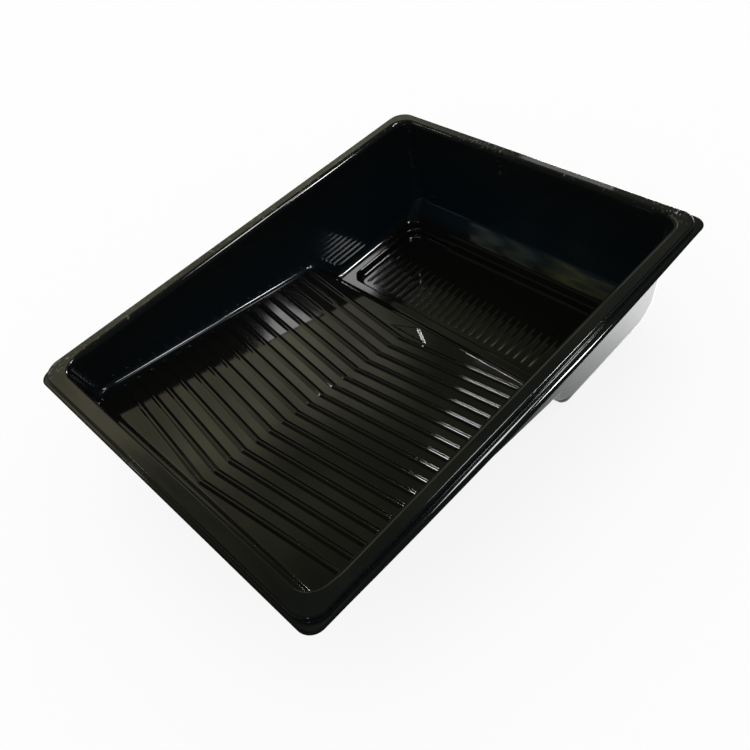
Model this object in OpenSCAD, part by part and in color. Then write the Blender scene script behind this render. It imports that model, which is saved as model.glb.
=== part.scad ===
// Paint roller tray: one sheet of thermoformed black plastic.
// A long ramp with chevron ribs runs down into a deep paint well with a ribbed floor.
// +X to the right, +Y from the shallow end (front) to the well end (back), +Z up.
// Origin: centre of the rim's length and width, on the underside of the well floor.

/* [Rim] */
// Width over the flat of the rim
rim_width = 280; // [262:1:310]
// Length over the flat of the rim
rim_length = 371; // [350:1:400]
// Plan radius of the rim's outer corners
rim_radius = 14; // [8:1:24]
// Drop from the flat of the rim to the lip
skirt_height = 4.6; // [3:0.1:9]
// Width of the lip that turns out from the foot of the skirt
lip_width = 3.3; // [1.5:0.1:6]
// Plan radius of the lip's trimmed corners
lip_radius = 10; // [6:1:14]
// Sheet thickness
sheet = 1.2; // [0.9:0.1:2]

/* [Cavity] */
// Width of the mouth of the cavity
mouth_width = 258.4; // [240:0.2:259]
// Width of the flat of the rim at the shallow end
front_land = 11; // [9:0.5:14]
// Width of the flat of the rim at the well end
back_land = 9.8; // [8:0.2:14]
// Plan radius of the mouth's corners
mouth_radius = 12; // [8:1:20]
// Inward slope of the side walls, mm per mm of depth
side_draft = 0.095; // [0.05:0.005:0.12]
// Inward slope of the wall at the well end, mm per mm of depth
back_draft = 0.035; // [0.02:0.005:0.08]
// Inward slope of the wall at the shallow end, mm per mm of depth
front_draft = 0.24; // [0.1:0.01:0.3]

/* [Ramp] */
// Depth of the upper end of the ramp below the rim
ramp_top_depth = 33.3; // [26:0.1:40]
// Fall of the ramp towards the well, mm per mm of length
ramp_slope = 0.148; // [0.1:0.001:0.17]
// Position along the tray of the ramp's lower edge
ramp_end_y = 40.1; // [30:0.1:50]
// Number of chevron ribs
chevrons = 17; // [10:1:17]
// Distance between chevrons along the tray
chevron_pitch = 11.33; // [10:0.01:11.4]
// Position of the lowest chevron's point
chevron_last_y = 20.4; // [14:0.1:22]
// How far a chevron's arms sweep towards the well, mm per mm of width
chevron_sweep = 0.123; // [0.05:0.001:0.15]
// Distance from the centre to the ends of the arms
chevron_half_width = 113; // [90:1:114]
// Height of the ribs on the ramp
rib_height = 1.1; // [0.8:0.1:2]
// Width of the ribs on the ramp at their foot
rib_width = 4.4; // [3:0.1:5]

/* [Well] */
// Depth of the ledge around the well floor, below the rim
ledge_depth = 91.2; // [85:0.1:95]
// Depth of the well floor below the rim
floor_depth = 97.8; // [96:0.1:104]
// Width of the sloped band at the foot of the wall at the well end
back_band = 14; // [8:0.5:16]
// Width of the sloped band at the foot of the side walls
side_band = 4.5; // [3:0.5:6]
// Distance the step below the ramp reaches towards the well
step_run = 20; // [14:0.5:24]
// Width of the ledge at the sides
ledge_side = 9; // [6:0.5:12]
// Width of the ledge at the well end
ledge_back = 9.2; // [6:0.2:12]
// Width of the ledge below the ramp
ledge_front = 9.6; // [6:0.2:12]
// Plan radius of the well floor's corners
floor_radius = 10; // [6:1:14]
// Number of ribs on the well floor
floor_ribs = 28; // [12:2:28]
// Distance between the ribs on the well floor
floor_pitch = 7.26; // [6.5:0.01:7.4]
// Length of the ribs on the well floor
floor_rib_length = 48; // [30:1:52]
// Gap from the front of the well floor to the ribs
floor_rib_gap = 7; // [5:0.5:12]
// Height of the ribs on the well floor
floor_rib_height = 1; // [0.8:0.1:1.6]

/* [Hidden] */

top = floor_depth + sheet;                   // height of the rim's top face
root = sheet / 2;                            // how deep raised details start in the sheet
reach_x = 200;                               // half sizes of the trimming bodies,
reach_y = 250;                               // well outside the tray

// Walls of the cavity at a depth below the rim
function side_x(depth) = mouth_width / 2 - side_draft * depth;
function front_y(depth) = -rim_length / 2 + front_land + front_draft * depth;
function back_y(depth) = rim_length / 2 - back_land - back_draft * depth;

// Ramp and the step below it
ramp_start_y = front_y(ramp_top_depth);
ramp_angle = atan(ramp_slope);
function ramp_depth(y) = ramp_top_depth + ramp_slope * (y - ramp_start_y);
function ramp_z(y) = top - ramp_depth(y);
ramp_end_depth = ramp_depth(ramp_end_y);
step_slope = step_run / (ledge_depth - ramp_end_depth);   // mm of length per mm of depth
function step_y(depth) = ramp_end_y + (depth - ramp_end_depth) * step_slope;

// Depths where the sloped bands begin, and the outer edges of the ledge
back_band_depth = ledge_depth - back_band;
side_band_depth = ledge_depth - side_band;
ledge_x = side_x(side_band_depth) - side_band;
ledge_y0 = ramp_end_y + step_run;
ledge_y1 = back_y(back_band_depth) - back_band;

// Edges of the well floor
floor_x = ledge_x - ledge_side;
floor_y0 = ledge_y0 + ledge_front;
floor_y1 = ledge_y1 - ledge_back;

// Ribs are caps of round rods
function cap_radius(height, width) = (height * height + width * width / 4) / (2 * height);
rib_radius = cap_radius(rib_height, rib_width);
rib_taper = 3;                               // length of the tapered end of an arm
arm_overlap = 0.6;                           // how far an arm starts across the centre line
floor_rib_width = 3.4;
floor_rib_radius = cap_radius(floor_rib_height, floor_rib_width);
floor_rib_taper = 2.4;

// Raised triangle at the ramp's lower edge: [x, y] from the middle of that edge
pad_height = 0.8;
pad_outline = [[-17, -13.5], [20, -13.5], [3, -2.6]];

// Rounded rectangle from (x0, y0) to (x1, y1)
module rounded_rect(x0, x1, y0, y1, radius, fn = 48) {
    translate([x0 + radius, y0]) square([x1 - x0 - 2 * radius, y1 - y0]);
    translate([x0, y0 + radius]) square([x1 - x0, y1 - y0 - 2 * radius]);
    for (x = [x0 + radius, x1 - radius], y = [y0 + radius, y1 - radius])
        translate([x, y]) circle(r = radius, $fn = fn);
}

// Thin slice of a drafted body, its underside at a depth below the rim
module slice(depth, x, y0, y1, radius)
    translate([0, 0, top - depth]) linear_extrude(0.01)
        rounded_rect(-x, x, y0, y1, radius, 32);

// Slice that follows the walls of the cavity, grown outwards
module wall_slice(depth, radius, grow)
    slice(depth, side_x(depth) + grow, front_y(depth) - grow, back_y(depth) + grow, radius + grow);

// Region above the ramp's surface, lowered by grow along its normal
module above_ramp(grow = 0) {
    drop = grow / cos(ramp_angle);
    ceiling = top + 60;
    translate([-reach_x, 0, 0]) rotate([90, 0, 90]) linear_extrude(2 * reach_x)
        polygon([
            [-reach_y, ramp_z(-reach_y) - drop],
            [reach_y, ramp_z(reach_y) - drop],
            [reach_y, ceiling],
            [-reach_y, ceiling]
        ]);
}

// Space above the ramp, grown outwards
module ramp_space(grow = 0)
    intersection() {
        hull() {
            wall_slice(-6, mouth_radius, grow);
            wall_slice(ramp_end_depth + 3, mouth_radius - 3, grow);
        }
        above_ramp(grow);
    }

// Space of the well down to the ledge, grown outwards
module well_space(grow = 0) {
    upper_depth = 40;                        // above the ramp's lower edge
    bend = grow * 0.42;                      // shift of the bends between wall, band and ledge
    step_shift = grow * 1.24;                // shift of the sloping step along Y
    back_bend_y = back_y(back_band_depth);
    hull() {
        slice(upper_depth, side_x(upper_depth) + grow,
              step_y(upper_depth) - step_shift, back_y(upper_depth) + grow, 12 + grow);
        slice(back_band_depth + bend, side_x(back_band_depth) + grow,
              step_y(back_band_depth + bend) - step_shift, back_bend_y + grow, 10.5 + grow);
        slice(side_band_depth + bend, side_x(side_band_depth) + grow,
              step_y(side_band_depth + bend) - step_shift,
              back_bend_y - (side_band_depth - back_band_depth) + grow, 10 + grow);
        slice(ledge_depth + grow, ledge_x + bend,
              ledge_y0 - grow * 0.5, ledge_y1 + bend, 8 + grow);
    }
}

// Recess of the well floor inside the ledge, grown outwards
module floor_space(grow = 0) {
    overlap = 0.3;                           // reach up into the well space
    translate([0, 0, top - floor_depth - grow])
        linear_extrude(floor_depth - ledge_depth + grow + overlap)
            rounded_rect(-floor_x - grow, floor_x + grow, floor_y0 - grow, floor_y1 + grow,
                         floor_radius + grow);
}

// Outline of the rim moved inwards; a negative inset moves it outwards
module rim_outline(inset, radius)
    rounded_rect(-rim_width / 2 + inset, rim_width / 2 - inset,
                 -rim_length / 2 + inset, rim_length / 2 - inset, radius, 64);

// Flat of the rim, its skirt and the lip that turns out below it
module rim() {
    translate([0, 0, top - sheet]) linear_extrude(sheet)
        rim_outline(0, rim_radius);
    translate([0, 0, top - skirt_height - sheet]) {
        linear_extrude(skirt_height + sheet) difference() {
            rim_outline(0, rim_radius);
            rim_outline(sheet, rim_radius - sheet);
        }
        linear_extrude(sheet) difference() {
            rim_outline(-lip_width, lip_radius);
            rim_outline(sheet / 2, rim_radius - sheet / 2);
        }
    }
}

// Round rod along +X with a tapered end beyond its length
module rod(length, radius, taper)
    rotate([0, 90, 0]) {
        cylinder(r = radius, h = length, $fn = 32);
        translate([0, 0, length]) cylinder(r1 = radius, r2 = radius * 0.55, h = taper, $fn = 32);
    }

// Places children on the ramp's centre line at y, tilted with its surface
module on_ramp(y)
    translate([0, y, ramp_z(y)]) rotate([-ramp_angle, 0, 0]) children();

// Chevron ribs on the ramp: each has two arms that meet at the centre line
module ramp_ribs() {
    arm_angle = atan(chevron_sweep * cos(ramp_angle));
    arm_length = chevron_half_width / cos(arm_angle);
    intersection() {
        for (i = [0 : chevrons - 1])
            on_ramp(chevron_last_y - i * chevron_pitch)
                translate([0, 0, rib_height - rib_radius])
                    for (side = [0, 1])
                        mirror([side, 0, 0]) rotate([0, 0, arm_angle])
                            translate([-arm_overlap, 0, 0])
                                rod(arm_length + arm_overlap - rib_taper, rib_radius, rib_taper);
        above_ramp(root);
    }
}

// Plain raised triangle at the middle of the ramp's lower edge
module ramp_pad()
    on_ramp(ramp_end_y) translate([0, 0, -root])
        linear_extrude(root + pad_height) polygon(pad_outline);

// Straight ribs on the well floor, tapered at both ends
module floor_rib_set() {
    start_y = floor_y0 + floor_rib_gap + floor_rib_taper;
    axis_z = top - floor_depth + floor_rib_height - floor_rib_radius;
    intersection() {
        for (i = [0 : floor_ribs - 1])
            translate([(i - (floor_ribs - 1) / 2) * floor_pitch, start_y, axis_z])
                rotate([0, 0, 90]) {
                    rod(floor_rib_length - 2 * floor_rib_taper, floor_rib_radius, floor_rib_taper);
                    mirror([1, 0, 0]) rod(0.01, floor_rib_radius, floor_rib_taper);
                }
        translate([-150, 0, top - floor_depth - root]) cube([300, 200, 20]);
    }
}

module tray() color([0.07, 0.07, 0.065]) {
    difference() {
        union() {
            // Outside of the cavity, cut off level with the rim
            difference() {
                union() {
                    ramp_space(sheet);
                    well_space(sheet);
                }
                translate([-reach_x, -reach_y, top]) cube([2 * reach_x, 2 * reach_y, 80]);
            }
            floor_space(sheet);
            rim();
        }
        ramp_space();
        well_space();
        floor_space();
    }
    ramp_ribs();
    ramp_pad();
    floor_rib_set();
}

tray();
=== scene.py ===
# Black plastic tray formed from one sheet: a ribbed ramp falls from the front wall to a
# step, below which lies a deep well with a ledge and a recessed, ribbed floor. A flat rim
# with a short skirt and a trimmed lip runs round the mouth.
# +X is right, +Y back, +Z up. The tray stands on z = 0, its mouth up, centred near x = y = 0.
# The sheet is worked out in millimetres. A depth is measured down from the flat of the rim.
import bpy
import math
import numpy as np
from mathutils import Matrix, Vector


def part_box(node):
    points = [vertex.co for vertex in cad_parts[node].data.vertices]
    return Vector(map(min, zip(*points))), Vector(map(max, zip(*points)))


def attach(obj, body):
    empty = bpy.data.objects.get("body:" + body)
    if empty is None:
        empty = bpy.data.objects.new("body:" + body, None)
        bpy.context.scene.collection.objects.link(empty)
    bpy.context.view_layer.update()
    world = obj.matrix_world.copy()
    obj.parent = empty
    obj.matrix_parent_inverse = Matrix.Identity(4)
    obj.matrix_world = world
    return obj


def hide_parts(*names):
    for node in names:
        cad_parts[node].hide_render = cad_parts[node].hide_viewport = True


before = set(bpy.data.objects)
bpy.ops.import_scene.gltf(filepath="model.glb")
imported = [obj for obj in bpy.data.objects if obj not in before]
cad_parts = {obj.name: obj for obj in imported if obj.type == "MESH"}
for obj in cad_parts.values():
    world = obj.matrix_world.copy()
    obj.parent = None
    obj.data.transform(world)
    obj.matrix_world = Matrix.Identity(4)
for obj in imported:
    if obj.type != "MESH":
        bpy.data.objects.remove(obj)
scene = bpy.context.scene
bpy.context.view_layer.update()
_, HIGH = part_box("tray")

# ---------------------------------------------------------------- sizes, mm
# Names ending in _X are half widths, in _D depths and in _R radii.
TOP = HIGH[2] * 1000
SHEET = 1.2                       # thickness

# rim
LIP = 3.3                         # width of the lip
FLAT_X = HIGH[0] * 1000 - LIP     # edge of the flat
FLAT_Y = HIGH[1] * 1000 - LIP
FLAT_R, LIP_R = 14.0, 10.0        # plan radii of the flat's and the trimmed lip's corners
TRIM_X, TRIM_Y = 0.9, 0.6         # how far the trim cut sits off the middle
SKIRT = 4.6
EDGE_R, SKIRT_FOOT_R = 1.5, 0.5
LIP_EASE_W, LIP_EASE_H = 1.9, 1.0   # the lip's edge is eased over this

# walls: the mouth, and how far each leans in per mm of depth
MOUTH_X, MOUTH_Y0, MOUTH_Y1 = 129.2, -174.5, 175.7
SIDE_LEAN, BACK_LEAN, FRONT_LEAN = 0.095, 0.035, 0.24


def side_x(depth):
    return MOUTH_X - SIDE_LEAN * depth


def back_y(depth):
    return MOUTH_Y1 - BACK_LEAN * depth


def corner_r(depth):
    return np.clip(12 - 0.04 * depth, 4, 12)


# ramp, from the front wall to its lower edge
SLOPE, RAMP_D = 0.148, 33.3
RAMP_COS = 1 / math.hypot(1, SLOPE)
RAMP_Y = MOUTH_Y0 + FRONT_LEAN * RAMP_D
END_Y = 40.1
END_D = RAMP_D + SLOPE * (END_Y - RAMP_Y)

# ledge, reached by the step in front and by 45 degree bands at the sides and back
LEDGE_D = 91.2
STEP_RUN = 20.0
STEP_LEAN = STEP_RUN / (LEDGE_D - END_D)
BACK_BAND, SIDE_BAND = 14.0, 4.5
BACK_BAND_D, SIDE_BAND_D = LEDGE_D - BACK_BAND, LEDGE_D - SIDE_BAND
LEDGE_X = side_x(SIDE_BAND_D) - SIDE_BAND
LEDGE_Y0 = END_Y + STEP_RUN
LEDGE_Y1 = back_y(BACK_BAND_D) - BACK_BAND

# floor, recessed in the ledge; its outline is taken halfway down the recess
FLOOR_D = 97.8
FLOOR_X = LEDGE_X - 9.0
FLOOR_Y0 = LEDGE_Y0 + 9.6
FLOOR_Y1 = LEDGE_Y1 - 9.2
RECESS_LEAN = 0.22
RECESS_RUN = 0.73                 # from that outline to the recess's upper or lower edge
RECESS_R = 10.0

# V-shaped ribs on the ramp, swept back towards the sides
RIB_COUNT, RIB_PITCH, LAST_RIB_Y = 17, 11.33, 20.4
RIB_SWEEP, RIB_REACH = 0.123, 116.5
RIB_H, RIB_W = 1.3, 5.0
RIB_TIP_X = RIB_REACH - RIB_W / 2      # centre of a rib's round end
# corners of the raised triangle: x, distance along the slope from the ramp's lower edge
PAD = np.array([(-17.0, -13.5), (20.0, -13.5), (3.0, -2.6)])
PAD_H, PAD_CORNER_R = 0.8, 1.0

# ribs on the floor, running front to back
FLOOR_RIB_COUNT, FLOOR_RIB_PITCH = 28, 7.26
FLOOR_RIB_H, FLOOR_RIB_W = 0.36, 3.8
FLOOR_RIB_Y0, FLOOR_RIB_Y1 = FLOOR_Y0 + 7.0, FLOOR_Y0 + 55.0


# ---------------------------------------------------------------- shape of the upper face
def smin(a, b, radius):
    """Minimum, rounded to a radius."""
    low = np.minimum(a, b)
    rounded = radius - np.hypot(np.maximum(radius - a, 0), np.maximum(radius - b, 0))
    return np.where(low >= radius, low, rounded)


def smax(a, b, radius):
    return -smin(-a, -b, radius)


def sstep(x, start, end):
    t = np.clip((x - start) / (end - start), 0, 1)
    return t * t * (3 - 2 * t)


def blunt_abs(x):
    """|x|, rounded at the centre line."""
    return np.sqrt(x * x + 0.5 ** 2) - 0.5


def bead(distance, width):
    """Bead with straight flanks, 1 on its crest and 0 from about width/2 outwards."""
    t = distance / (width / 2)
    h = 1.12 - 1.12 * np.sqrt(t * t + 0.14 ** 2)
    return smax(h, 0 * h, 0.09)


def ramp_depth(y):
    return RAMP_D + SLOPE * (y - RAMP_Y)


def ramp_ribs(x, y):
    ax = blunt_abs(x)
    sweep_cos = 1 / math.hypot(1, RIB_SWEEP)
    place = (y - RIB_SWEEP * ax - LAST_RIB_Y) / RIB_PITCH
    nearest = np.clip(np.round(place), -(RIB_COUNT - 1), 0)
    across = (place - nearest) * RIB_PITCH * sweep_cos
    beyond = np.maximum(ax - RIB_REACH + RIB_W / 2, 0)
    return RIB_H * bead(np.hypot(across, beyond), RIB_W)


def pad(x, y):
    """Plain raised triangle near the ramp's lower edge."""
    along = (y - END_Y) / RAMP_COS
    inside = np.full(np.shape(x), 1e9)
    for i in range(3):
        a, b = PAD[i], PAD[(i + 1) % 3]
        t = (b - a) / np.hypot(*(b - a))
        inside = smin(inside, (along - a[1]) * t[0] - (x - a[0]) * t[1], PAD_CORNER_R)
    return PAD_H * sstep(inside, -0.2, 1.1)


def floor_ribs(x, y):
    half_count = FLOOR_RIB_COUNT // 2
    nearest = np.clip(np.round(x / FLOOR_RIB_PITCH - 0.5), -half_count, half_count - 1)
    dx = x - (nearest + 0.5) * FLOOR_RIB_PITCH
    off_middle = np.abs(y - (FLOOR_RIB_Y0 + FLOOR_RIB_Y1) / 2)
    dy = np.maximum(off_middle - (FLOOR_RIB_Y1 - FLOOR_RIB_Y0) / 2 + FLOOR_RIB_W / 2, 0)
    return FLOOR_RIB_H * bead(np.hypot(dx, dy), FLOOR_RIB_W)


def shoulder_r(y):
    """Radius between walls and rim, tighter at the front."""
    return 4.0 - 2.7 * sstep(-y, 150, 172)


def foot_r(y, depth):
    """Radius at the foot of the walls: tighter at the front and the ledge, wide by the step."""
    r = 3.5 - 1.8 * sstep(-y, 150, 162)
    r = r + (8.5 - r) * sstep(y, 34, 50)
    return r + (0.9 - r) * sstep(depth, 82, 91.5)


def field(p, ribs=True):
    """Positive in the air above the sheet, zero on its upper face."""
    x, y, z = p[:, 0], p[:, 1], p[:, 2]
    ax, d = np.abs(x), TOP - z
    root2 = math.sqrt(2)
    side = (side_x(d) - ax) / math.hypot(1, SIDE_LEAN)
    back = (back_y(d) - y) / math.hypot(1, BACK_LEAN)
    front = (y - MOUTH_Y0 - FRONT_LEAN * d) / math.hypot(1, FRONT_LEAN)
    side = smin(side, (side_x(SIDE_BAND_D) - (d - SIDE_BAND_D) - ax) / root2, 1.2)
    back = smin(back, (back_y(BACK_BAND_D) - (d - BACK_BAND_D) - y) / root2, 1.2)
    walls = smin(side, np.minimum(back, front), corner_r(d))
    ramp = (ramp_depth(y) - d) * RAMP_COS
    if ribs:
        ramp = ramp - ramp_ribs(x, y) - pad(x, y)
    step = (y - END_Y - (d - END_D) * STEP_LEAN) / math.hypot(1, STEP_LEAN)
    bottom = smax(ramp, smin(step, LEDGE_D - d, 1.0), 0.7)
    air = smin(walls, bottom, foot_r(y, d))
    # recess of the well floor
    lean = (d - (LEDGE_D + FLOOR_D) / 2) * RECESS_LEAN
    recess_x = (FLOOR_X - lean - ax) / math.hypot(1, RECESS_LEAN)
    recess_y = np.minimum(FLOOR_Y1 - lean - y, y - FLOOR_Y0 - lean) / math.hypot(1, RECESS_LEAN)
    height = FLOOR_D - d
    if ribs:
        height = height - floor_ribs(x, y)
    recess = smin(smin(recess_x, recess_y, RECESS_R), height, 2.0)
    air = smax(air, recess, 1.3)
    return smax(air, -d, shoulder_r(y))


def grad(p, ribs=True):
    step = 0.004
    g = np.empty_like(p)
    for i in range(3):
        ahead, behind = p.copy(), p.copy()
        ahead[:, i] += step
        behind[:, i] -= step
        g[:, i] = (field(ahead, ribs) - field(behind, ribs)) / (2 * step)
    return g


def settle(p):
    """Move points onto the sheet's upper face, in 12 rounds of at most 1.5 mm."""
    p = p.copy()
    for _ in range(12):
        g = grad(p)
        s = field(p) / np.maximum((g * g).sum(1), 0.2)
        p -= g * np.clip(s, -1.5, 1.5)[:, None]
    return p


# ---------------------------------------------------------------- stations
NEAR = [0.0, 0.45, 1.0, 1.7, 2.5, 3.4, 4.4]   # offsets from a fillet's corner


def between(a, b, n):
    """The inner points of n equal steps from a to b."""
    return list(np.linspace(a, b, n + 1)[1:-1])


def ramp_rows():
    """Stations from front wall to lower edge: y at the centre line, y at the ribs' ends."""
    sweep = RIB_SWEEP * (RIB_REACH + 1)
    first = LAST_RIB_Y - (RIB_COUNT - 1) * RIB_PITCH
    rows = [(RAMP_Y + o, RAMP_Y + o) for o in NEAR[:5]]
    # plain strip, opening out from the straight wall to the first swept rib
    start, stop = rows[-1][0], first - 2.7
    rows += [(start + (stop - start) * t, start + (stop + sweep - start) * s)
             for t, s in ((0.15, 0.07), (0.32, 0.17), (0.5, 0.32), (0.68, 0.52), (0.85, 0.76))]
    for i in range(RIB_COUNT):
        c = first + i * RIB_PITCH
        rows += [(c + o, c + o + sweep)
                 for o in (-2.7, -2.1, -1.5, -0.5, 0.0, 0.5, 1.5, 2.1, 2.7)]
        if i < RIB_COUNT - 1:
            rows.append((c + RIB_PITCH / 2, c + RIB_PITCH / 2 + sweep))
    # plain strip closing up to the lower edge, fine over the pad
    start, tip = rows[-1]
    pad_y = END_Y - 13.9
    centre = between(start, pad_y, 3) + [pad_y + 0.8 * i for i in range(16)]
    centre += [END_Y - o for o in (1.2, 0.7, 0.3, 0.0)]
    rows += [(y, tip + (END_Y - tip) * (y - start) / (END_Y - start)) for y in centre]
    return np.array(rows)


def ramp_columns(half):
    """Stations across, from the left wall to the right wall."""
    right = [half - o for o in NEAR]
    right += [RIB_TIP_X + o for o in (-1.5, 0.0, 0.5, 1.0, 1.6, 2.2, 2.8)]
    right += between(RIB_TIP_X + 2.8, half - NEAR[-1], 3)
    right += list(np.linspace(22, RIB_TIP_X - 1.5, 8)[:-1])
    right += [0.4, 0.9, 2.2] + list(np.arange(1, 15) * 1.5)
    right = sorted(set(right))
    return np.array([-x for x in reversed(right)] + [0.0] + right)


END_X = side_x(END_D)
COLUMNS = ramp_columns(END_X)            # x on the ramp's lower edge
ACROSS = COLUMNS / END_X                 # the same, -1..1
NX = len(COLUMNS)
ROWS = ramp_rows()

# stations along the well's sides, front to back, both ends included; scaled to 0..1
WELL = np.array([
    0.0, 0.45, 1.0, 1.7, 2.6, 3.8, 5.4, 7.4, 10, 14, 20, 30, 44, 58, 72, 86, 98, 106, 112, 117,
    121.5, 125, 127.8, 130, 131.8, 133.4, 134.8, 136.0])
WELL = WELL / WELL[-1]
N_SIDE = len(WELL) - 2                   # without the ends


def round_rect(x, y, half_x, y0, y1, r0, r1):
    """Round the corners of a rectangle's grid: radius r0 at the front, r1 at the back."""
    x, y = x.copy(), y.copy()
    for r, edge, s in ((r0, y0, -1), (r1, y1, 1)):
        if r <= 0:
            continue
        u = (np.abs(x) - (half_x - r)) / r
        v = s * (y - (edge - s * r)) / r
        m = (u > 0) & (v > 0)
        a, b = np.clip(u[m], 0, 1), np.clip(v[m], 0, 1)
        a, b = a * np.sqrt(np.maximum(1 - b * b / 2, 0)), b * np.sqrt(np.maximum(1 - a * a / 2, 0))
        x[m] = np.sign(x[m]) * (half_x - r + a * r)
        y[m] = edge - s * r + s * b * r
    return x, y


# ---------------------------------------------------------------- pieces of the upper face
class Sheet:
    """Points and faces of the upper face. Loops run counter-clockwise seen from above."""

    def __init__(self):
        self.parts, self.quads, self.tris, self.count = [], [], [], 0

    def points(self):
        return np.concatenate(self.parts)

    def add(self, points):
        index = np.arange(len(points)) + self.count
        self.parts.append(np.asarray(points, float))
        self.count += len(points)
        return index

    def add_quads(self, *corners):
        self.quads.append(np.stack([np.ravel(c) for c in corners], 1))

    def grid(self, i):
        self.add_quads(i[:-1, :-1], i[:-1, 1:], i[1:, 1:], i[1:, :-1])

    def ring(self, outer, inner):
        """Closed strip between two loops of the same length."""
        self.add_quads(outer, np.roll(outer, -1), np.roll(inner, -1), inner)

    def grow(self, points, inner):
        """Add a loop around an earlier one."""
        outer = self.add(points)
        self.ring(outer, inner)
        return outer

    def zip(self, outer, inner):
        """Triangles between loops of different lengths that start side by side."""
        points = self.points()
        po, pi = points[outer], points[inner]
        n, m = len(outer), len(inner)
        i = j = 0
        while i < n or j < m:
            step_outer = np.sum((po[(i + 1) % n] - pi[j % m]) ** 2)
            step_inner = np.sum((po[i % n] - pi[(j + 1) % m]) ** 2)
            if j >= m or (i < n and step_outer <= step_inner):
                self.tris.append((outer[i % n], outer[(i + 1) % n], inner[j % m]))
                i += 1
            else:
                self.tris.append((outer[i % n], inner[(j + 1) % m], inner[j % m]))
                j += 1


def build_ramp(sheet):
    """Ramp, rows by columns."""
    half = side_x(ramp_depth(ROWS[:, 1]))[:, None]
    ax = np.abs(COLUMNS)[None, :]
    # columns beyond the ribs spread to meet the leaning side walls
    spread = RIB_REACH + (ax - RIB_REACH) * ((half - RIB_REACH) / (END_X - RIB_REACH))
    x = np.sign(COLUMNS)[None, :] * np.where(ax > RIB_REACH, spread, ax)
    centre, tip = ROWS[:, :1], ROWS[:, 1:]
    y = centre + (tip - centre) * np.minimum(blunt_abs(x) / (RIB_REACH + 1), 1)
    x, y = round_rect(x.ravel(), y.ravel(), side_x(RAMP_D), RAMP_Y, 1e3, corner_r(RAMP_D), 0)
    points = settle(np.stack([x, y, TOP - ramp_depth(y)], 1))
    index = sheet.add(points).reshape(len(ROWS), NX)
    sheet.grid(index)
    return index


def well_levels():
    """Loops from the ramp's lower edge to the floor: depth, half x, y0, y1, r0, r1."""
    levels = []
    for a in (0, 0.3, 0.7, 1.3, 2.2, 3.6, 5.6, 8.4, 11.5, 14.5, 17.5, 20.2, 22.5, 24.4, 25.9, 26.7):
        d = END_D + a
        x = side_x(d)
        if d > SIDE_BAND_D:
            x = side_x(SIDE_BAND_D) - (d - SIDE_BAND_D)
        y1 = back_y(d)
        if d >= BACK_BAND_D:
            y1 = back_y(BACK_BAND_D) - (d - BACK_BAND_D)
        levels.append((d, x, END_Y + a * STEP_LEAN, y1, min(9.6, 1.2 * a), corner_r(d)))
    # the ledge, from its outer edge to the recess
    x, y0, y1 = FLOOR_X + RECESS_RUN, FLOOR_Y0 - RECESS_RUN, FLOOR_Y1 + RECESS_RUN
    for t in (0.0, 0.05, 0.12, 0.22, 0.42, 0.64, 0.8, 0.9, 0.96, 1.0):
        levels.append((LEDGE_D, LEDGE_X + (x - LEDGE_X) * t, LEDGE_Y0 + (y0 - LEDGE_Y0) * t,
                       LEDGE_Y1 + (y1 - LEDGE_Y1) * t, 9.4 + 0.6 * t, 8.4 + 1.6 * t))
    for a in (0.5, 1.1, 2.0, 3.3, 4.6, 5.5, 6.1, 6.6):
        e = a * RECESS_LEAN
        levels.append((LEDGE_D + a, x - e, y0 + e, y1 - e, RECESS_R, RECESS_R))
    for o in (0.45, 1.0, 1.7, 2.6, 4.0):
        r = max(RECESS_R - o, 5.5)
        levels.append((FLOOR_D, FLOOR_X - RECESS_RUN - o, FLOOR_Y0 + RECESS_RUN + o,
                       FLOOR_Y1 - RECESS_RUN - o, r, r))
    return levels


def well_loop(depth, half_x, y0, y1, r0, r1):
    """Front edge, right side, back, left side, from the front left corner."""
    x = ACROSS * half_x
    side = (y0 + (y1 - y0) * WELL)[1:-1]
    loop_x = np.concatenate([x, np.full(N_SIDE, half_x), x[::-1], np.full(N_SIDE, -half_x)])
    loop_y = np.concatenate([np.full(NX, y0), side, np.full(NX, y1), side[::-1]])
    loop_x, loop_y = round_rect(loop_x, loop_y, half_x, y0, y1, r0, r1)
    return np.stack([loop_x, loop_y, np.full(len(loop_x), TOP - depth)], 1)


def build_well(sheet, ramp):
    """Step, lower walls, ledge and recess; the first loop shares the ramp's last row."""
    loops = np.array([well_loop(*level) for level in well_levels()])
    loops[1:] = settle(loops[1:].reshape(-1, 3)).reshape(loops[1:].shape)
    index = [np.concatenate([ramp[-1], sheet.add(settle(loops[0][NX:]))])]
    index += [sheet.add(loop) for loop in loops[1:]]
    for outer, inner in zip(index[:-1], index[1:]):
        sheet.ring(outer, inner)
    return index


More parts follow.
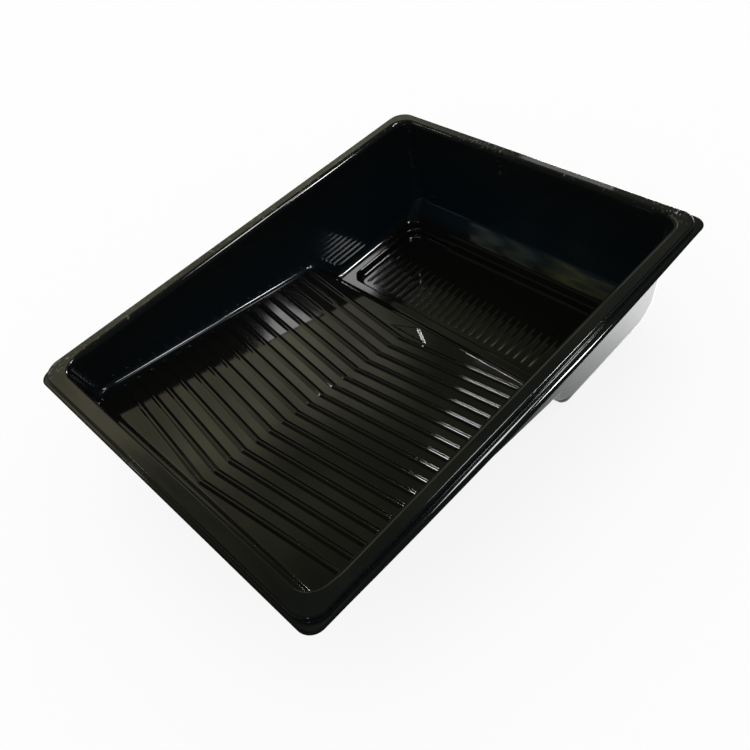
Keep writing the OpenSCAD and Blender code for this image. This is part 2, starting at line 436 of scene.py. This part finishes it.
def build_floor(sheet, around):
    """Ribbed floor with its own columns, joined to the well on flat ground."""
    edge_x = FLOOR_X - RECESS_RUN - 6.2
    y0, y1 = FLOOR_Y0 + RECESS_RUN + 5.4, FLOOR_Y1 - RECESS_RUN - 6.4
    columns = [(i - FLOOR_RIB_COUNT / 2 - 0.5) * FLOOR_RIB_PITCH + o
               for i in range(1, FLOOR_RIB_COUNT + 1)
               for o in (-2.1, -1.55, -0.9, -0.35, 0.0, 0.35, 0.9, 1.55, 2.1)]
    near_end = (-0.3, 0.4, 0.9, 1.6, 2.4)
    rows = [y0] + [FLOOR_RIB_Y0 + o for o in near_end]
    rows += between(FLOOR_RIB_Y0 + 2.4, FLOOR_RIB_Y1 - 2.4, 4)
    rows += [FLOOR_RIB_Y1 - o for o in reversed(near_end)] + between(FLOOR_RIB_Y1, y1, 2) + [y1]
    x, y = np.meshgrid([-edge_x] + columns + [edge_x], rows)
    points = np.stack([x.ravel(), y.ravel(), np.full(x.size, TOP - FLOOR_D)], 1)
    points[:, 2] += floor_ribs(points[:, 0], points[:, 1])
    index = sheet.add(points).reshape(x.shape)
    sheet.grid(index)
    border = [index[0, :], index[1:-1, -1], index[-1, ::-1], index[1:-1, 0][::-1]]
    sheet.zip(around, np.concatenate(border))


def along(loop):
    return np.roll(loop, -1, 0) - np.roll(loop, 1, 0)


def outward(loop):
    """Unit outward direction in plan."""
    t = along(loop)
    n = np.stack([t[:, 1], -t[:, 0]], 1)
    return n / np.linalg.norm(n, axis=1)[:, None]


def build_walls(sheet, ramp, well_edge):
    """Walls from the ramp and well up to the mouth, and the shoulder onto the rim."""
    loop = np.concatenate([ramp[0, :], ramp[1:, -1], well_edge[NX:], ramp[1:, 0][::-1]])
    foot = sheet.points()[loop]
    # side stations stay straight above their feet except near the front and back
    foot_y1 = back_y(END_D)
    side = np.concatenate([ROWS[1:, 1], END_Y + (foot_y1 - END_Y) * WELL[1:-1]])
    side = (side + (MOUTH_Y0 - RAMP_Y) * (1 - sstep(side, RAMP_Y, RAMP_Y + 60))
            + (MOUTH_Y1 - foot_y1) * sstep(side, foot_y1 - 40, foot_y1))
    n = len(side)
    x = np.concatenate([ACROSS * MOUTH_X, np.full(n, MOUTH_X),
                        ACROSS[::-1] * MOUTH_X, np.full(n, -MOUTH_X)])
    y = np.concatenate([np.full(NX, MOUTH_Y0), side, np.full(NX, MOUTH_Y1), side[::-1]])
    x, y = round_rect(x, y, MOUTH_X, MOUTH_Y0, MOUTH_Y1, corner_r(0), corner_r(0))
    mouth = np.stack([x, y, np.full(len(x), TOP)], 1)
    rise = mouth - foot
    length = np.linalg.norm(rise, axis=1)
    for distance in (0.45, 1.0, 1.7, 2.5, 3.4, 4.6):      # up the wall from its foot
        loop = sheet.grow(settle(foot + rise * (distance / length)[:, None]), loop)
    out = outward(mouth)
    r = shoulder_r(mouth[:, 1])
    for depth in (9.0, 5.4, 4.2, 3.5, 2.8, 2.15, 1.55, 1.0, 0.6, 0.3, 0.1):
        t = depth / (TOP - foot[:, 2])
        points = mouth - rise * t[:, None]
        if depth < 4:
            # on the shoulder's arc: angle 0 on the flat, 90 degrees on the wall
            arc_d = depth * r / 4
            angle = np.arccos(1 - arc_d / r)
            points[:, :2] = mouth[:, :2] + out * (r - r * np.sin(angle))[:, None]
            points[:, 2] = TOP - arc_d
        loop = sheet.grow(settle(points), loop)
    # where the shoulder meets the flat of the rim
    points = mouth.copy()
    points[:, :2] += out * r[:, None]
    return sheet.grow(points, loop)


def outline(offset):
    """Rim loop `offset` outside the flat's edge, and its droop. It eases to the trim cut."""
    half_x, half_y = FLAT_X + offset, FLAT_Y + offset
    ease = max(offset - SKIRT_FOOT_R, 0) / (LIP - SKIRT_FOOT_R)
    r = (FLAT_R + offset) * (1 - ease) + LIP_R * ease
    steps = 14                           # per corner
    corners = []
    for cx, cy, start in ((half_x - r, -half_y + r, -90), (half_x - r, half_y - r, 0),
                          (-half_x + r, half_y - r, 90), (-half_x + r, -half_y + r, 180)):
        angles = [math.radians(start + 90 * i / steps) for i in range(steps + 1)]
        corners.append(np.array([(cx + r * math.cos(a), cy + r * math.sin(a)) for a in angles]))
    out = []
    for k in range(4):
        out += list(corners[k])
        a, b = corners[k][-1], corners[(k + 1) % 4][0]
        n = 24 if k % 2 == 0 else 18     # sides, front and back
        out += [a + (b - a) * i / n for i in range(1, n)]
    out = np.array(out)
    # the right side bows out in the middle, and droops there
    right = sstep(out[:, 0], 90, 136)
    bow = np.maximum(1 - (out[:, 1] / 172) ** 2, 0)
    out[:, 0] += ease * TRIM_X * (1 - right) + right * (0.5 * bow + ease * (0.4 + 1.6 * bow))
    out[:, 1] += ease * TRIM_Y
    return out, 1.25 * ease ** 1.6 * right * bow


def rim_profile():
    """Flat, edge and skirt, then the lip: offset outwards, depth, normal's out and up parts."""
    turns = [(math.sin(a), math.cos(a)) for a in map(math.radians, (18, 36, 54, 72, 90))]
    rows = [(-EDGE_R - 0.5, 0.0, 0.0, 1.0), (-EDGE_R, 0.0, 0.0, 1.0)]
    rows += [(-EDGE_R + EDGE_R * s, EDGE_R - EDGE_R * c, s, c) for s, c in turns]
    rows.append((0.0, SKIRT - SKIRT_FOOT_R, 1.0, 0.0))
    rows += [(SKIRT_FOOT_R - SKIRT_FOOT_R * c, SKIRT - SKIRT_FOOT_R + SKIRT_FOOT_R * s, c, s)
             for s, c in turns]
    lip_start = len(rows)
    for a in map(math.radians, (0, 18, 36, 52, 68, 80, 90)):
        # only the last of these normals is used; the others follow the droop
        rows.append((LIP - LIP_EASE_W + LIP_EASE_W * math.sin(a),
                     SKIRT + LIP_EASE_H - LIP_EASE_H * math.cos(a), 1.0, 0.0))
    return rows, lip_start


def build_rim(sheet, shoulder, profile):
    loops = []
    for offset, depth, _, _ in profile:
        plan, droop = outline(offset)
        loops.append(sheet.add(np.column_stack([plan, TOP - depth - droop])))
    # the loops start beside the shoulder's start, so that the strip doesn't twist
    points = sheet.points()
    shift = int(np.argmin(((points[loops[0]] - points[shoulder[0]]) ** 2).sum(1)))
    loops = [np.roll(loop, -shift) for loop in loops]
    sheet.zip(loops[0], shoulder)
    for inner, outer in zip(loops[:-1], loops[1:]):
        sheet.ring(outer, inner)
    return loops


def sheet_normals(points, rim, profile, lip_start, ribs):
    body = slice(0, rim[0].min())
    normals = np.zeros_like(points)
    g = grad(points[body], ribs)
    normals[body] = g / np.linalg.norm(g, axis=1)[:, None]
    for k, loop in enumerate(rim):
        p = points[loop]
        _, _, out, up = profile[k]
        normals[loop, :2] = outward(p) * out
        normals[loop, 2] = up
        if lip_start <= k < len(rim) - 1:
            # the lip follows its droop
            n = np.cross(points[rim[k + 1]] - points[rim[k - 1]], along(p))
            normals[loop] = n * (np.sign(n[:, 2]) / np.linalg.norm(n, axis=1))[:, None]
    return normals


def link(name, data):
    obj = bpy.data.objects.new(name, data)
    scene.collection.objects.link(obj)
    return obj


def build_tray():
    sheet = Sheet()
    ramp = build_ramp(sheet)
    well = build_well(sheet, ramp)
    build_floor(sheet, well[-1])
    shoulder = build_walls(sheet, ramp, well[0])
    profile, lip_start = rim_profile()
    rim = build_rim(sheet, shoulder, profile)

    # underside: one thickness away along the normal that ignores the ribs
    upper = sheet.points()
    normals = sheet_normals(upper, rim, profile, lip_start, ribs=True)
    plain = sheet_normals(upper, rim, profile, lip_start, ribs=False)
    under = upper - plain * SHEET
    for k, loop in enumerate(rim[lip_start:], lip_start):
        # the lip's underside is level across, out to the trim edge
        under[loop, :2] = upper[loop, :2]
        under[loop, 2] = upper[loop, 2] + (profile[k][1] - SKIRT) - SHEET
    last = rim[-1]
    under_normals = -plain
    under_normals[last] = normals[last]

    n = len(upper)
    quads, tris = np.concatenate(sheet.quads), np.array(sheet.tris)
    after = np.roll(last, -1)
    edge = np.stack([last + n, after + n, after, last], 1)
    faces = []
    for part in (quads, quads[:, ::-1] + n, tris, tris[:, ::-1] + n, edge):
        faces += part.tolist()
    mesh = bpy.data.meshes.new("tray_sheet")
    mesh.from_pydata((np.concatenate([upper, under]) / 1000.0).tolist(), [], faces)
    mesh.validate()
    mesh.update()
    mesh.shade_smooth()
    mesh.normals_split_custom_set_from_vertices(np.concatenate([normals, under_normals]).tolist())
    return link("tray_sheet", mesh)


tray = build_tray()
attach(tray, "root")
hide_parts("tray")


# ---------------------------------------------------------------- node helpers
class Tree:
    """Short names for building the node tree of a material or world."""

    def __init__(self, owner):
        owner.use_nodes = True
        self.nodes, self.links = owner.node_tree.nodes, owner.node_tree.links
        self.nodes.clear()

    def node(self, kind, inputs=None, **props):
        n = self.nodes.new(kind)
        for key, value in props.items():
            setattr(n, key, value)
        for key, value in (inputs or {}).items():
            self.put(n.inputs[key], value)
        return n

    def put(self, sock, v):
        if isinstance(v, bpy.types.NodeSocket):
            self.links.new(v, sock)
        elif isinstance(v, (tuple, list)) and len(sock.default_value) == 4 and len(v) == 3:
            sock.default_value = (*v, 1)
        else:
            sock.default_value = v

    def math(self, op, a, b=0.0, c=None):
        inputs = {0: a, 1: b} if c is None else {0: a, 1: b, 2: c}
        return self.node("ShaderNodeMath", inputs, operation=op).outputs[0]

    def dot(self, v, w):
        n = self.node("ShaderNodeVectorMath", {0: v, 1: w}, operation="DOT_PRODUCT")
        return n.outputs["Value"]

    def fade(self, x, span, to=(0.0, 1.0), kind="SMOOTHSTEP"):
        """Map x from the range `span` to the range `to`."""
        return self.node("ShaderNodeMapRange", {
            "Value": x, "From Min": span[0], "From Max": span[1],
            "To Min": to[0], "To Max": to[1]}, interpolation_type=kind).outputs[0]

    def mix(self, fac, a, b, kind="MIX"):
        return self.node("ShaderNodeMix", {0: fac, 6: a, 7: b},
                         data_type="RGBA", blend_type=kind).outputs[2]

    def mix_shader(self, fac, a, b):
        return self.node("ShaderNodeMixShader", {0: fac, 1: a, 2: b}).outputs[0]

    def noise(self, vec, scale, detail, rough):
        return self.node("ShaderNodeTexNoise", {
            "Vector": vec, "Scale": scale, "Detail": detail, "Roughness": rough}).outputs[0]

    def scaled(self, vec, scale):
        return self.node("ShaderNodeMapping", {"Vector": vec, "Scale": scale}).outputs[0]

    def coords(self, kind):
        return self.node("ShaderNodeTexCoord").outputs[kind]

    def split(self, vec):
        return self.node("ShaderNodeSeparateXYZ", {0: vec}).outputs


# ---------------------------------------------------------------- material
def plastic():
    """Glossy black plastic; places are in metres in the tray's frame."""
    m = bpy.data.materials.new("black_plastic")
    t = Tree(m)
    out = t.node("ShaderNodeOutputMaterial")
    bsdf = t.node("ShaderNodeBsdfPrincipled", {"IOR": 1.5})
    t.put(out.inputs[0], bsdf.outputs[0])
    pos = t.coords("Object")
    x, y, z = t.split(pos)
    # colour: black with a faint warm and cool drift
    drift = t.noise(pos, scale=9.0, detail=3.0, rough=0.55)
    colour = t.mix(drift, (0.0022, 0.0024, 0.0021), (0.0036, 0.0035, 0.0029))
    # painted reflection: a cool blue tint on the side and back walls in place of the cool light
    # they reflect, deepest low down where less light reaches them
    steep = t.math("MAXIMUM", t.fade(t.math("ABSOLUTE", x), span=(0.116, 0.122)),
                   t.fade(y, span=(0.160, 0.167)))
    low = t.fade(z, span=(0.03, 0.095), to=(1.0, 0.2), kind="LINEAR")
    colour = t.mix(t.math("MULTIPLY", steep, low), colour, (0.0030, 0.0062, 0.0082))
    # pale marks on the flat of the rim, left and back, densest at the front left corner: partly
    # scuffs, partly a painted reflection that lightens these flats
    left = t.fade(x, span=(-0.134, -0.122), to=(1.0, 0.0))
    back = t.fade(y, span=(0.170, 0.178), to=(0.0, 0.8))
    corner = t.math("MULTIPLY", t.fade(x, span=(-0.137, -0.118), to=(1.0, 0.0)),
                    t.fade(y, span=(-0.184, -0.160), to=(1.0, 0.0)))
    where = t.math("MULTIPLY", t.math("MAXIMUM", left, back), t.fade(z, span=(0.0975, 0.0988)))
    speckle = t.noise(t.scaled(pos, (1.6, 0.7, 1.0)), scale=330.0, detail=4.0, rough=0.7)
    patch = t.noise(pos, scale=30.0, detail=2.0, rough=0.5)
    # the pale marks show where the noise passes a threshold, lower in patches and at the corner
    base, corner_drop, patch_drop, softness = 0.66, -0.07, -0.16, 0.10
    cut = t.math("MULTIPLY_ADD", corner, corner_drop, base)
    cut = t.math("MULTIPLY_ADD", patch, patch_drop, cut)
    shown = t.fade(speckle, span=(cut, t.math("ADD", cut, softness)))
    scuffs_and_sheen = t.math("MULTIPLY", where, shown)
    # pale base colour where the marks show: scuffs and painted reflection together
    t.put(bsdf.inputs["Base Color"], t.mix(scuffs_and_sheen, colour, (0.105, 0.10, 0.085)))
    # roughness: slow variation, fine marks, and the scuffs
    base, slow_gain, fine_gain, worn_gain = 0.035, 0.05, 0.06, 0.30
    slow = t.noise(pos, scale=14.0, detail=4.0, rough=0.6)
    fine = t.noise(t.scaled(pos, (1.0, 1.6, 1.0)), scale=420.0, detail=2.0, rough=0.6)
    rough = t.math("MULTIPLY_ADD", slow, slow_gain, base)
    rough = t.math("MULTIPLY_ADD", t.fade(fine, span=(0.62, 0.8)), fine_gain, rough)
    t.put(bsdf.inputs["Roughness"], t.math("MULTIPLY_ADD", scuffs_and_sheen, worn_gain, rough))
    # surface: slow waves and a fine orange peel
    wave_h, peel_h = 0.22, 0.003
    waves = t.noise(pos, scale=22.0, detail=2.0, rough=0.5)
    peel = t.noise(pos, scale=260.0, detail=2.0, rough=0.5)
    height = t.math("MULTIPLY_ADD", peel, peel_h, t.math("MULTIPLY", waves, wave_h))
    bump = t.node("ShaderNodeBump", {"Strength": 0.35, "Distance": 0.001, "Height": height})
    t.put(bsdf.inputs["Normal"], bump.outputs[0])
    return m


tray.data.materials.append(plastic())


# ---------------------------------------------------------------- floor
def paper():
    """Even white to the camera; in reflections its brightness varies with place."""
    m = bpy.data.materials.new("floor")
    t = Tree(m)
    out = t.node("ShaderNodeOutputMaterial")
    ray = t.node("ShaderNodeLightPath").outputs
    x, y, _ = t.split(t.coords("Object"))
    # brightest behind the tray, and ending on the right
    lit = t.math("ADD", t.fade(y, span=(0.0, 0.05), to=(0.1, 0.75)),
                 t.fade(y, span=(0.045, 0.145), to=(0.0, 2.2), kind="LINEAR"))
    lit = t.math("MULTIPLY", lit, t.fade(x, span=(0.155, 0.178), to=(1.0, 0.06)))
    glow = t.node("ShaderNodeCombineColor", {0: lit, 1: lit, 2: lit}).outputs[0]
    pale = t.mix(0.5, (0.93, 0.93, 0.925), (0.95, 0.95, 0.95))
    colour = t.mix(ray["Is Glossy Ray"], pale, glow)
    diffuse = t.node("ShaderNodeBsdfDiffuse", {0: colour}).outputs[0]
    own_light = t.node("ShaderNodeEmission", {0: (0.98, 0.98, 0.98)}).outputs[0]
    own_share = 0.86
    share = t.math("MULTIPLY", ray["Is Camera Ray"], own_share)
    t.put(out.inputs[0], t.mix_shader(share, diffuse, own_light))
    return m


paper_material = paper()
mesh = bpy.data.meshes.new("floor")
mesh.from_pydata([(-6, -6, 0), (6, -6, 0), (6, 6, 0), (-6, 6, 0)], [], [(0, 1, 2, 3)])
mesh.materials.append(paper_material)
floor = link("floor", mesh)
floor.location.z = -0.0003

# ---------------------------------------------------------------- world
# direction, half width and half height in degrees, edge softness, colour, strength
PANELS = [
    ((-0.785, 0.13, 0.606), 26, 8.5, 0.35, (1.0, 0.92, 0.60), 0.62),    # warm wall on the left
    ((-0.69, 0.12, 0.715), 24, 7.5, 0.6, (1.0, 0.93, 0.66), 0.16),
    ((-0.60, 0.54, 0.56), 6, 6, 0.6, (1.0, 1.0, 0.8), 0.40),
]
CLUTTER = [                              # small things at the front left
    ((-0.405, -0.678, 0.616), 1.0, 2.2, 0.8, (1.0, 1.0, 0.30), 0.45),
    ((-0.365, -0.690, 0.626), 1.6, 0.9, 0.8, (1.0, 1.0, 0.40), 0.25),
    ((-0.505, -0.638, 0.580), 0.9, 3.0, 0.5, (0.9, 1.0, 0.82), 0.32),
    ((-0.462, -0.656, 0.597), 0.8, 2.4, 0.5, (0.9, 1.0, 0.70), 0.24),
]


def panel_mask(t, direction, centre, half_w, half_h, soft):
    """Soft rectangle in a direction, 1 inside."""
    c = Vector(centre).normalized()
    right = Vector((0, 0, 1)).cross(c).normalized()
    ahead = t.dot(direction, tuple(c))
    scale = t.math("MAXIMUM", ahead, 1e-4)
    sides = []
    for axis, half in ((right, half_w), (c.cross(right), half_h)):
        q = t.math("ABSOLUTE", t.math("DIVIDE", t.dot(direction, tuple(axis)), scale))
        e = math.tan(math.radians(half))
        sides.append(t.fade(q, span=(e * (1 - soft), e * (1 + soft)), to=(1.0, 0.0)))
    facing = t.math("GREATER_THAN", t.dot(direction, tuple(c)), 0.0)
    return t.math("MULTIPLY", t.math("MULTIPLY", *sides), facing)


def studio():
    """Even white light, but a dim room with soft panels in reflections."""
    world = bpy.data.worlds.new("studio")
    t = Tree(world)
    out = t.node("ShaderNodeOutputWorld")
    direction = t.coords("Generated")
    x, y, _ = t.split(direction)
    blot = t.noise(direction, scale=7.0, detail=3.0, rough=0.6)
    specks = t.noise(direction, scale=55.0, detail=3.0, rough=0.65)
    room = t.mix(t.fade(blot, span=(0.35, 0.7)), (0.085, 0.092, 0.062), (0.205, 0.21, 0.137))
    front = t.math("MULTIPLY", t.fade(y, span=(-0.30, 0.05), to=(0.85, 0.0)),
                   t.fade(x, span=(-0.66, -0.54), to=(0.2, 1.0)))
    room = t.mix(front, room, (0.012, 0.013, 0.012))    # dark in front
    right = t.fade(x, span=(-0.15, 0.25), to=(0.0, 0.85))
    room = t.mix(right, room, (0.030, 0.036, 0.050))    # cool on the right
    for table, pattern, span, to in ((PANELS, blot, (0.25, 0.75), (0.55, 1.35)),
                                     (CLUTTER, specks, (0.35, 0.62), (0.25, 1.3))):
        for *shape, colour, strength in table:
            mask = panel_mask(t, direction, *shape)
            mask = t.math("MULTIPLY", mask, t.fade(pattern, span, to))
            light = tuple(c * strength for c in colour)
            room = t.mix(mask, room, t.mix(1.0, room, light, "ADD"))
    reflected = t.node("ShaderNodeBackground", {0: room}).outputs[0]
    even = t.node("ShaderNodeBackground", {"Color": (1, 1, 1), "Strength": 1.12}).outputs[0]
    glossy = t.node("ShaderNodeLightPath").outputs["Is Glossy Ray"]
    t.put(out.inputs[0], t.mix_shader(glossy, even, reflected))
    return world


scene.world = studio()

# ---------------------------------------------------------------- lamps
# name, direction from the aim point, distance, width, height, radiance, aim point
LAMPS = [
    ("overhead", (0.26, 0.37, 0.89), 1.4, 0.28, 0.30, 16.0, (-0.13, 0.0, 0.098)),
    ("behind", (-0.36, 0.86, 0.33), 1.6, 0.40, 0.25, 41.0, (0.095, -0.05, 0.05)),
    ("front_left", (-0.60, -0.35, 0.74), 1.5, 0.07, 0.07, 9.0, (-0.08, 0.078, 0.002)),
    ("front_right", (0.46, -0.80, 0.36), 1.5, 0.16, 0.12, 14.0, (0.13, -0.18, 0.098)),
    ("right_lip", (0.355, 0.551, 0.762), 1.3, 0.14, 0.20, 50.0, (0.145, 0.03, 0.094)),
    ("pale_patch", (-0.46, 0.675, 0.575), 0.45, 0.12, 0.05, 1.3, (0.04, 0.18, 0.099)),
]
for name, toward, distance, width, height, radiance, aim in LAMPS:
    toward = Vector(toward).normalized()
    light = bpy.data.lights.new(name, "AREA")
    light.shape, light.size, light.size_y = "RECTANGLE", width, height
    light.energy = radiance * math.pi * width * height
    lamp = link(name, light)
    lamp.visible_diffuse = False         # the lamps serve for reflections only
    lamp.visible_camera = False
    lamp.rotation_mode = "QUATERNION"
    lamp.location = Vector(aim) + toward * distance
    lamp.rotation_quaternion = toward.to_track_quat("Z", "Y")

# ---------------------------------------------------------------- camera
cam = bpy.data.cameras.new("camera")
cam.lens, cam.sensor_width = 35.69, 36.0
cam.clip_start, cam.clip_end = 0.01, 50
camera = link("camera", cam)
right = Vector((0.70935, 0.68449, -0.16821)).normalized()
up = Vector((-0.44812, 0.62216, 0.64196)).normalized()
view = Vector((-0.54407, 0.37999, -0.74806)).normalized()
pose = Matrix((right, up, -view)).transposed().to_4x4()
pose.translation = Vector((0.30398, -0.22286, 0.44239))
camera.matrix_world = pose
scene.camera = camera
scene.view_settings.view_transform = "Standard"
